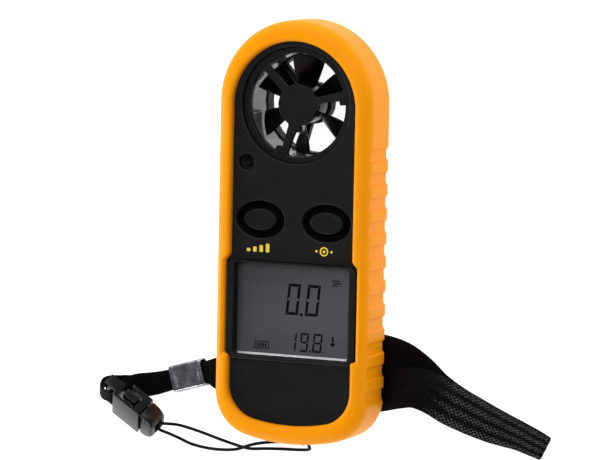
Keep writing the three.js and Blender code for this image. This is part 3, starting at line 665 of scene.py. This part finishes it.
def blade_faces(start, rows, steps):
    """The faces of one closed blade: two sheets and the rim between them."""
    wide = steps + 1
    sheet = wide * (rows + 1)
    faces = []
    for i in range(rows):
        for j in range(steps):
            a = start + i * wide + j
            faces.append((a, a + 1, a + wide + 1, a + wide))
            b = a + sheet
            faces.append((b, b + wide, b + wide + 1, b + 1))
    rim = [j for j in range(steps)] + [i * wide + steps for i in range(rows)]
    rim += [rows * wide + steps - j for j in range(steps)] + [(rows - i) * wide for i in range(rows)]
    for k, a in enumerate(rim):
        b = rim[(k + 1) % len(rim)]
        faces.append((start + b, start + a, start + a + sheet, start + b + sheet))
    return faces


def soften(piece, width, angle=40):
    """A small rounded bevel on the edges sharper than angle."""
    bevel = piece.modifiers.new("round", "BEVEL")
    bevel.width = width * MM
    bevel.segments = 3
    bevel.limit_method = "ANGLE"
    bevel.angle_limit = math.radians(angle)
    bevel.harden_normals = False


# ---- keys ----
def make_keys(mats):
    for node, body in (("mode_key", "mode_button"), ("set_key", "set_button")):
        low, high = node_box(node)
        x, y = (low[:2] + high[:2]) / 2
        cap = plate_mesh(node, [oval(x, y, KEY_WIDTH, KEY_HEIGHT)], high[2] - 2.4, high[2], 0.55)
        skirt = plate_mesh(node, [oval(x, y, WELL_WIDTH + 1.4, WELL_HEIGHT + 1.2)],
                           low[2] + 0.5, high[2] - 2.16, 0.15)
        piece = finish_piece(node + "_cap", cap, mats["key"], body)
        # The web fills the well's moat; its near-black is black rubber darkened further as painted shade of
        # the recess.
        web = finish_piece(node + "_web", skirt, mats["recess_shade_black"], body)
        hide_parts(node)


def make_marks(mats):
    """Printed signs: rising bars under one key, a dial under the other."""
    z = FACE_Z + 0.02
    shapes = []
    for k in range(4):
        height = 0.8 + 0.45 * k
        x = -11.9 + 1.72 * k
        shapes.append([rounded(x, -5.05 + height / 2, 0.95, height, 0.2, 4)])
    shapes.append([circle(8.45, -3.95, 1.15, 40), circle(8.45, -3.95, 0.78, 40)])
    shapes.append([circle(8.45, -3.95, 0.36, 24)])
    for side in (-1, 1):
        shapes.append([rounded(8.45 + side * 2.0, -3.95, 0.6, 0.6, 0.25, 4)])
    meshes = [plate_mesh("mark", s, z - 0.05, z + 0.02, 0.0) for s in shapes]
    piece = finish_piece("key_marks", join_meshes("key_marks", meshes), mats["print"])


# ---- display ----
SEGMENTS = {"0": "abcdef", "1": "bc", "8": "abcdefg", "9": "abcdfg"}


def segment_shapes(digit, x, y, width, height, thick):
    """The lit bars of one seven-segment digit, leaning a little to the right. x, y is its lower left."""
    lean, gap, mid = 0.1, 0.07, height / 2
    bars = {
        "a": ((0, height), (width, height), (width - thick, height - thick), (thick, height - thick)),
        "d": ((thick, thick), (width - thick, thick), (width, 0), (0, 0)),
        "f": ((0, height), (thick, height - thick), (thick, mid + thick / 2), (0, mid)),
        "e": ((0, mid), (thick, mid - thick / 2), (thick, thick), (0, 0)),
        "b": ((width, height), (width, mid), (width - thick, mid + thick / 2),
              (width - thick, height - thick)),
        "c": ((width, mid), (width, 0), (width - thick, thick), (width - thick, mid - thick / 2)),
        "g": ((thick / 2, mid), (thick, mid + thick / 2), (width - thick, mid + thick / 2),
              (width - thick / 2, mid), (width - thick, mid - thick / 2), (thick, mid - thick / 2)),
    }
    shapes = []
    for name in SEGMENTS[digit]:
        bar = np.array(bars[name])
        centre = bar.mean(axis=0)
        size = np.ptp(bar, axis=0)
        bar = centre + (bar - centre) * (1 - 2 * gap / np.maximum(size, thick))
        shapes.append([(x + px + lean * py, y + py) for px, py in bar])
    return shapes


def make_display(mats):
    pane = plate("display_pane", [rounded(LCD_X, LCD_Y, LCD_WIDTH + 0.9, LCD_HEIGHT + 0.9, 0.9)],
                 LCD_TOP - 0.6, LCD_TOP, 0.1, mats["display"])
    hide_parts("lcd_window")
    edge = make_pane_edge(mats["pane_edge_highlight"])
    shapes = segment_shapes("0", -2.45, -20.4, 3.5, 7.9, 0.85)
    shapes += segment_shapes("0", 2.75, -20.4, 3.65, 7.9, 0.85)
    shapes.append(rounded(1.95, -20.15, 0.72, 0.7, 0.1, 3))
    shapes += segment_shapes("1", -1.55, -29.35, 2.1, 4.8, 0.58)
    shapes += segment_shapes("9", 1.45, -29.35, 2.3, 4.8, 0.58)
    shapes.append(rounded(4.45, -29.05, 0.5, 0.5, 0.08, 3))
    shapes += segment_shapes("8", 4.9, -29.35, 2.55, 4.8, 0.58)
    shapes += battery_sign(-10.6, -29.2)
    shapes += unit_signs()
    z = LCD_TOP
    meshes = [plate_mesh("bar", [s], z, z + 0.03, 0.0) for s in shapes]
    piece = finish_piece("display_digits", join_meshes("display_digits", meshes), mats["digits"])


def make_pane_edge(material):
    """The clear window's polished edge, drawn as a painted highlight: a thin bright line, widest along its
    lower side.
    """
    half_w, half_h = (LCD_WIDTH + 0.62) / 2, (LCD_HEIGHT + 0.62) / 2
    sides = (((1, -1), (-1, -1), 0.42), ((1, 1), (1, -1), 0.26), ((-1, 1), (1, 1), 0.26))
    points, faces = [], []
    for (ax, ay), (bx, by), width in sides:
        start = len(points)
        inward = np.array([-ax if ax == bx else 0.0, -ay if ay == by else 0.0])
        for x, y in ((ax, ay), (bx, by)):
            edge = np.array([LCD_X + x * half_w, LCD_Y + y * half_h])
            for across, height in ((0, 0.55), (0.35, 0.45), (0.8, 0.16), (1, 0.01)):
                px, py = edge + inward * across * width
                points.append((px, py, LCD_TOP + height * min(1, width / 0.3)))
        faces += [(start + k, start + 4 + k, start + 5 + k, start + 1 + k) for k in range(3)]
    return mesh_piece("pane_edge_highlight", points, faces, material)


def battery_sign(x, y):
    """A small battery: its outline and four charge bars."""
    shapes = [rounded(x + 2.0, y + 1.75, 3.7, 0.22, 0.05, 2), rounded(x + 2.0, y + 0.1, 3.7, 0.22, 0.05, 2),
              rounded(x + 0.15, y + 0.92, 0.22, 1.7, 0.05, 2),
              rounded(x + 3.85, y + 0.92, 0.22, 1.7, 0.05, 2)]
    shapes += [rounded(x + 0.95 + 0.68 * k, y + 0.92, 0.42, 0.95, 0.05, 2) for k in range(4)]
    return shapes


def unit_signs():
    """Plain signs for what is measured: three bars of wind, and a thermometer."""
    wind = [rounded(11.0, -11.2, 2.2, 0.26, 0.12, 3), rounded(11.5, -11.8, 2.2, 0.26, 0.12, 3),
            rounded(10.8, -12.4, 1.6, 0.26, 0.12, 3)]
    thermometer = [rounded(10.5, -25.7, 0.46, 1.4, 0.2, 4), circle(10.5, -26.95, 0.5, 24)]
    return wind + thermometer


# ---- cord and strap ----
CORD_OUT = [
    (0.0, -44.6, 5.4), (-1.6, -45.7, 5.4), (-1.6, -47.6, 5.4), (-1.0, -49.6, 5.4),
    (-0.8, -51.8, 5.4), (-0.9, -53.6, 4.2), (-2.2, -53.8, 1.9), (-5.0, -54.0, 0.6),
    (-10.5, -54.4, 0.5), (-16.0, -55.4, 0.5), (-21.0, -57.1, 0.5), (-26.0, -57.5, 0.5),
    (-30.5, -57.2, 0.5), (-33.6, -56.6, 0.5), (-36.2, -55.3, 1.6), (-38.2, -54.0, 3.6),
    (-40.1, -53.0, 5.0), (-41.6, -52.0, 5.0),
]
CORD_BACK = [
    (0.0, -44.6, 5.4), (1.6, -45.7, 5.4), (1.6, -47.6, 5.4), (1.0, -49.6, 5.4),
    (0.8, -51.8, 5.4), (0.9, -53.9, 4.4), (0.0, -55.2, 2.0), (-3.2, -55.8, 0.6),
    (-8.5, -56.0, 0.5), (-12.8, -56.2, 1.0), (-16.6, -56.4, 1.6), (-20.6, -55.9, 0.9),
    (-26.0, -54.7, 0.5), (-31.2, -53.2, 0.9), (-35.8, -51.7, 3.2), (-39.2, -51.2, 6.0),
    (-41.0, -50.9, 6.4),
]
STRAP = [
    (-35.0, -39.5, 3.05, 5.2, -0.28, 0.96, 0), (-30.0, -38.05, 3.05, 5.2, -0.28, 0.96, 0),
    (-27.6, -37.6, 3.0, 5.2, -0.1, 1, 0), (-24.6, -39.6, 1.9, 5.6, 0.3, 0.95, 0),
    (-21.4, -41.4, 0.8, 6.0, 0.3, 0.95, 0), (-17.0, -42.2, 0.5, 7.0, 0.1, 1, 0),
    (-10.0, -42.1, 0.5, 8.2, 0, 1, 0), (0.0, -41.6, 0.5, 9.2, 0, 1, 0),
    (12.0, -40.6, 0.5, 9.6, -0.1, 1, 0), (18.0, -39.7, 0.6, 9.6, -0.1, 1, 0),
    (23.0, -38.3, 1.9, 10.0, -0.1, 1, 0.1), (28.0, -37.4, 2.4, 10.2, 0.2, 1, 0.05),
    (33.0, -38.4, 2.2, 10.4, 0.4, 0.9, 0), (38.5, -41.0, 2.0, 10.4, 0.42, 0.9, 0),
    (44.0, -43.2, 2.0, 9.8, 0.38, 0.92, 0), (50.0, -45.5, 2.0, 8.6, 0.38, 0.92, 0),
    (56.0, -47.6, 2.0, 7.0, 0.42, 0.9, 0), (60.6, -49.4, 2.0, 6.3, 0.45, 0.89, 0),
    (62.5, -50.2, 1.25, 6.2, 0.45, 0.89, 0), (60.6, -49.4, 0.5, 6.3, 0.45, 0.89, 0),
    (56.0, -47.6, 0.5, 6.8, 0.42, 0.9, 0), (50.0, -45.5, 0.5, 7.6, 0.38, 0.92, 0),
    (44.0, -43.2, 0.5, 8.4, 0.38, 0.92, 0), (38.5, -40.8, 0.5, 8.8, 0.45, 0.9, 0),
    (33.4, -37.8, 0.5, 9.0, 0.55, 0.83, 0), (28.8, -34.0, 0.5, 9.2, 0.6, 0.8, 0),
    (24.0, -31.2, 0.5, 9.4, 0.4, 0.92, 0), (18.0, -29.8, 0.5, 9.4, 0.1, 1, 0),
    (10.0, -29.8, 0.5, 9.0, 0, 1, 0), (-2.0, -30.6, 0.5, 8.2, -0.1, 1, 0),
    (-12.0, -32.6, 0.5, 7.0, -0.2, 1, 0), (-18.0, -34.2, 0.5, 6.0, -0.28, 0.96, 0),
    (-22.0, -35.2, 0.6, 5.4, -0.28, 0.96, 0), (-25.0, -36.3, 0.8, 5.2, -0.28, 0.96, 0),
    (-28.4, -37.6, 1.05, 5.2, -0.28, 0.96, 0), (-33.4, -39.05, 1.05, 5.2, -0.28, 0.96, 0),
    (-38.2, -40.45, 1.05, 5.2, -0.28, 0.96, 0), (-43.5, -42.0, 1.05, 5.8, -0.28, 0.96, 0.05),
    (-48.0, -42.9, 1.5, 5.8, -0.1, 0.95, 0.2), (-52.0, -42.3, 2.9, 5.6, 0.15, 0.8, 0.5),
    (-54.2, -41.7, 4.3, 5.6, 0.37, 0.58, 0.72), (-55.7, -42.2, 5.7, 5.6, 0.37, 0.58, 0.72),
    (-55.9, -43.6, 6.8, 5.6, 0.37, 0.58, 0.72), (-54.8, -44.8, 7.3, 5.6, 0.37, 0.58, 0.72),
    (-53.1, -45.1, 6.9, 5.6, 0.37, 0.58, 0.72), (-52.3, -44.5, 5.8, 5.6, 0.37, 0.58, 0.72),
    (-51.7, -43.6, 4.7, 5.6, 0.37, 0.58, 0.72), (-50.6, -42.8, 3.6, 5.6, 0.3, 0.7, 0.6),
    (-47.6, -42.2, 2.6, 5.6, 0, 0.95, 0.3), (-43.5, -41.7, 2.1, 5.5, -0.25, 0.96, 0.05),
    (-38.2, -40.45, 2.05, 5.2, -0.28, 0.96, 0), (-31.0, -38.35, 2.05, 5.2, -0.28, 0.96, 0),
]


def smooth_line(points, samples):
    """Points evenly spaced along a centripetal Catmull-Rom curve, and where each lies in the route."""
    p = np.array(points, float)
    p = np.vstack([2 * p[0] - p[1], p, 2 * p[-1] - p[-2]])
    line, place = [], []
    for i in range(1, len(p) - 2):
        t = np.concatenate([[0], np.cumsum(np.sqrt(np.linalg.norm(np.diff(p[i - 1:i + 3], axis=0), axis=1)))])
        for s in np.linspace(0, 1, 24, endpoint=i == len(p) - 3):
            u = t[1] + (t[2] - t[1]) * s
            a = [(t[k + 1] - u) / (t[k + 1] - t[k]) * p[i - 1 + k] + (u - t[k]) / (t[k + 1] - t[k]) * p[i + k]
                 for k in range(3)]
            b = [(t[k + 2] - u) / (t[k + 2] - t[k]) * a[k] + (u - t[k]) / (t[k + 2] - t[k]) * a[k + 1]
                 for k in range(2)]
            line.append((t[2] - u) / (t[2] - t[1]) * b[0] + (u - t[1]) / (t[2] - t[1]) * b[1])
            place.append(i - 1 + s)
    line = np.array(line)
    along = np.concatenate([[0], np.cumsum(np.linalg.norm(np.diff(line, axis=0), axis=1))])
    want = np.linspace(0, along[-1], samples)
    even = np.stack([np.interp(want, along, line[:, k]) for k in range(3)], axis=1)
    return even, np.interp(want, along, place), want


def braid_tube(name, route, radius, material):
    """A thin round cord as a mesh tube with its own weave map."""
    line, _, along = smooth_line(route, 260)
    sides = 12
    points, faces, weave = [], [], []
    normal = np.array([0.0, 0.0, 1.0])
    for i, p in enumerate(line):
        tangent = line[min(i + 1, len(line) - 1)] - line[max(i - 1, 0)]
        tangent /= np.linalg.norm(tangent)
        normal = normal - tangent * normal.dot(tangent)
        normal /= np.linalg.norm(normal)
        other = np.cross(tangent, normal)
        for k in range(sides):
            a = 2 * math.pi * k / sides
            points.append(p + radius * (math.cos(a) * normal + math.sin(a) * other))
    around = 2 * math.pi * radius / sides
    for i in range(len(line) - 1):
        for k in range(sides):
            n = (k + 1) % sides
            faces.append((i * sides + k, i * sides + n, (i + 1) * sides + n, (i + 1) * sides + k))
            u0, u1 = along[i], along[i + 1]
            v0, v1 = k * around, (k + 1) * around
            weave += [u0, v0, u0, v1, u1, v1, u1, v0]
    for end, order in ((0, -1), (len(line) - 1, 1)):
        faces.append(tuple(end * sides + k for k in range(sides))[::order])
        weave += [0.0] * (2 * sides)
    piece = mesh_piece(name, points, faces, material, sharp=80)
    set_weave(piece, weave)
    return piece, line


def set_weave(piece, weave):
    layer = piece.data.uv_layers.new(name="weave")
    layer.data.foreach_set("uv", weave)


STRAP_CURL = 1.7
CURL_STARTS, CURL_ENDS = (9.5, 12.5), (14.5, 16.5)


def strap_section(width):
    """Points round the strap's section: rounded selvages and a faint lengthwise swell."""
    half, thick = width / 2, 0.35
    across = np.linspace(-1, 1, 25)
    swell = np.sqrt(np.maximum(1 - np.abs(across) ** 10, 0.12))
    ridge = 1 + 0.1 * np.cos(across * 3 * math.pi)
    top = [(s * half, thick * w * r * 0.9) for s, w, r in zip(across, swell, ridge)]
    low = [(x, -y) for x, y in top[::-1]]
    return top + low


def make_strap(mats):
    rows = np.array(STRAP)
    line, place, along = smooth_line(rows[:, :3], 1000)
    k = np.arange(len(rows))
    width = np.interp(place, k, rows[:, 3])
    aside = np.stack([np.interp(place, k, rows[:, c]) for c in (4, 5, 6)], axis=1)
    tangent = np.gradient(line, axis=0)
    tangent /= np.linalg.norm(tangent, axis=1)[:, None]
    aside -= tangent * (aside * tangent).sum(axis=1)[:, None]
    aside /= np.linalg.norm(aside, axis=1)[:, None]
    normal = np.cross(tangent, aside)
    curl = STRAP_CURL * step_between(place, *CURL_STARTS) * (1 - step_between(place, *CURL_ENDS))
    count = len(strap_section(1))
    points, faces, weave = [], [], []
    for i in range(len(line)):
        for u, v in strap_section(width[i]):
            lift = curl[i] * (2 * u / width[i]) ** 2
            points.append(line[i] + aside[i] * u + normal[i] * (v + lift))
    flat = [u for u, _ in strap_section(10)]
    for i in range(len(line) - 1):
        for j in range(count):
            n = (j + 1) % count
            a, b = i * count, (i + 1) * count
            faces.append((a + j, a + n, b + n, b + j))
            weave += [along[i], flat[j], along[i], flat[n], along[i + 1], flat[n], along[i + 1], flat[j]]
    for end, order in ((0, 1), (len(line) - 1, -1)):
        faces.append(tuple(end * count + j for j in range(count))[::-order])
        weave += [0.0] * (2 * count)
    piece = mesh_piece("wrist_webbing", points, faces, mats["web"], sharp=60)
    set_weave(piece, weave)
    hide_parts("wrist_strap")
    return piece, line


def rounded_copy(node, name, material, body, width):
    """A piece in a CAD node's own shape, with its edges rounded as moulding leaves them."""
    piece = finish_piece(name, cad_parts[node].data.copy(), material, body, SHARP_ANGLE)
    weld = piece.modifiers.new("weld", "WELD")
    weld.merge_threshold = 1e-5
    soften(piece, width, SHARP_ANGLE)
    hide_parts(node)
    return piece


def make_buckle(mats):
    bodies = {"buckle_socket": "meter", "buckle_plug": "meter", "buckle_arm_low": "arm_low",
              "buckle_arm_high": "arm_high"}
    pieces = []
    for node, body in bodies.items():
        piece = rounded_copy(node, node + "_moulded", mats["buckle"], body, 0.3)
        pieces.append(piece)
    return pieces


def make_crimp(mats):
    """A folded metal sleeve with rolled long edges and a pressed dimple in its top."""
    low, high = node_box("strap_crimp")
    cx, cy = (low[:2] + high[:2]) / 2
    turn = math.radians(16.3)
    length, width, height = 9.0, 7.0, high[2] - low[2]
    rows, sides = 40, 64
    points, faces = [], []
    for skin in (0.0, 0.34):
        for i in range(rows + 1):
            x = length * (i / rows - 0.5)
            end = step_between(abs(x), length / 2 - 0.7, length / 2)
            for k in range(sides):
                a = 2 * math.pi * k / sides
                c, s = math.cos(a), math.sin(a)
                y = (width / 2 - skin) * math.copysign(abs(c) ** 0.34, c)
                z = (height / 2 - skin) * math.copysign(abs(s) ** 0.5, s)
                pressed = (1 - step_between(abs(y), 1.6, 3.0)) * (1 - step_between(abs(x), 2.6, 4.0))
                z -= 0.3 * pressed * max(s, 0) + 0.1 * end * max(s, 0)
                points.append((cx + x * math.cos(turn) - y * math.sin(turn),
                               cy + x * math.sin(turn) + y * math.cos(turn),
                               low[2] + height / 2 + z))
    sheet = (rows + 1) * sides
    for i in range(rows):
        for k in range(sides):
            n = (k + 1) % sides
            a, b = i * sides, (i + 1) * sides
            faces.append((a + k, a + n, b + n, b + k)[::-1])
            faces.append((sheet + a + k, sheet + a + n, sheet + b + n, sheet + b + k))
    for row in (0, rows):
        for k in range(sides):
            n = (k + 1) % sides
            a = row * sides
            rim = (a + k, a + n, sheet + a + n, sheet + a + k)
            faces.append(rim if row == 0 else rim[::-1])
    piece = mesh_piece("crimp_sleeve", points, faces, mats["crimp"], sharp=50)
    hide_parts("strap_crimp")
    return piece


def make_cords(mats):
    buckle = make_buckle(mats)
    crimp = make_crimp(mats)
    for name, route, z in (("cord_strand_a", CORD_OUT, -0.0008), ("cord_strand_b", CORD_BACK, 0.0008)):
        piece, line = braid_tube(name, route, 0.4, mats["cord"])
    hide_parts("loop_cord")
    strap, line = make_strap(mats)


# ---- CAD nodes that keep their own shape ----
CARRIED = {
    "charcoal": ("rear_case", "battery_door", "sensor_tube", "lcd_holder"),
    "guard": ("rear_guard",),
    "duct_reflection_grey": ("fan_duct",),
    "gloss": ("thermistor", "meter_chip", "hall_sensor", "buzzer"),
    "steel": ("case_screw_1", "case_screw_2", "case_screw_3", "case_screw_4", "impeller_shaft",
              "rotor_magnet", "mode_switch", "set_switch", "clock_crystal", "battery_cell",
              "cord_anchor_pin"),
    "brass": ("front_bearing", "rear_bearing", "battery_contact_minus", "battery_contact_plus"),
    "board": ("main_board",),
    "display": ("lcd_panel",),
    "grey_rubber": ("contact_strip_upper", "contact_strip_lower"),
}


def dress_nodes(mats):
    for key, names in CARRIED.items():
        for name in names:
            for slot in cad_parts[name].material_slots:
                slot.material = mats[key]


# ---- stage ----
def area_light(name, place, target, size, power):
    data = bpy.data.lights.new(name, "AREA")
    data.shape = "RECTANGLE"
    data.size, data.size_y = size
    data.energy = power
    light = bpy.data.objects.new(name, data)
    light.location = place
    light.rotation_euler = (Vector(target) - Vector(place)).to_track_quat("-Z", "Y").to_euler()
    bpy.context.collection.objects.link(light)


def make_stage():
    """A pale, faintly glowing sheet, as a light table is, under large soft lights."""
    n = Nodes("stage_white")
    n.shader.inputs["Base Color"].default_value = (0.6, 0.6, 0.6, 1)
    n.shader.inputs["Roughness"].default_value = 0.9
    n.shader.inputs["Emission Color"].default_value = (1, 1, 1, 1)
    n.shader.inputs["Emission Strength"].default_value = 0.9
    n.bump(n.noise(2.0), 0.01)
    mesh = bpy.data.meshes.new("floor")
    size = 3.0
    corners = [(-size, -size, 0), (size, -size, 0), (size, size, 0), (-size, size, 0)]
    mesh.from_pydata(corners, [], [(0, 1, 2, 3)])
    mesh.materials.append(n.material)
    floor = bpy.data.objects.new("floor", mesh)
    bpy.context.collection.objects.link(floor)
    world = bpy.data.worlds.new("studio")
    world.use_nodes = True
    background = world.node_tree.nodes["Background"]
    background.inputs["Color"].default_value = (1, 1, 1, 1)
    background.inputs["Strength"].default_value = 0.22
    bpy.context.scene.world = world
    area_light("sky_panel", (0.15, 0.4, 0.9), (0, 0, 0), (0.7, 0.5), 4.8)
    area_light("right_panel", (0.8, 0.2, 0.55), (0, 0, 0.01), (0.8, 0.9), 0.8)
    area_light("fan_end_strip", (-0.35, 0.75, 0.38), (0, 0, 0.01), (0.5, 0.22), 2.6)
    area_light("far_end_strip", (-0.35, -0.75, 0.33), (0, 0, 0.01), (0.5, 0.2), 3.0)
    area_light("left_strip", (-0.85, -0.1, 0.14), (0, 0, 0.01), (0.15, 0.5), 3.4)


bpy.context.scene.view_settings.view_transform = "Standard"
materials = make_materials()
make_camera()
make_cords(materials)
make_jacket(materials["rubber"])
make_face(materials)
make_guard(materials)
make_impeller(materials)
make_keys(materials)
make_marks(materials)
make_display(materials)
dress_nodes(materials)
make_stage()
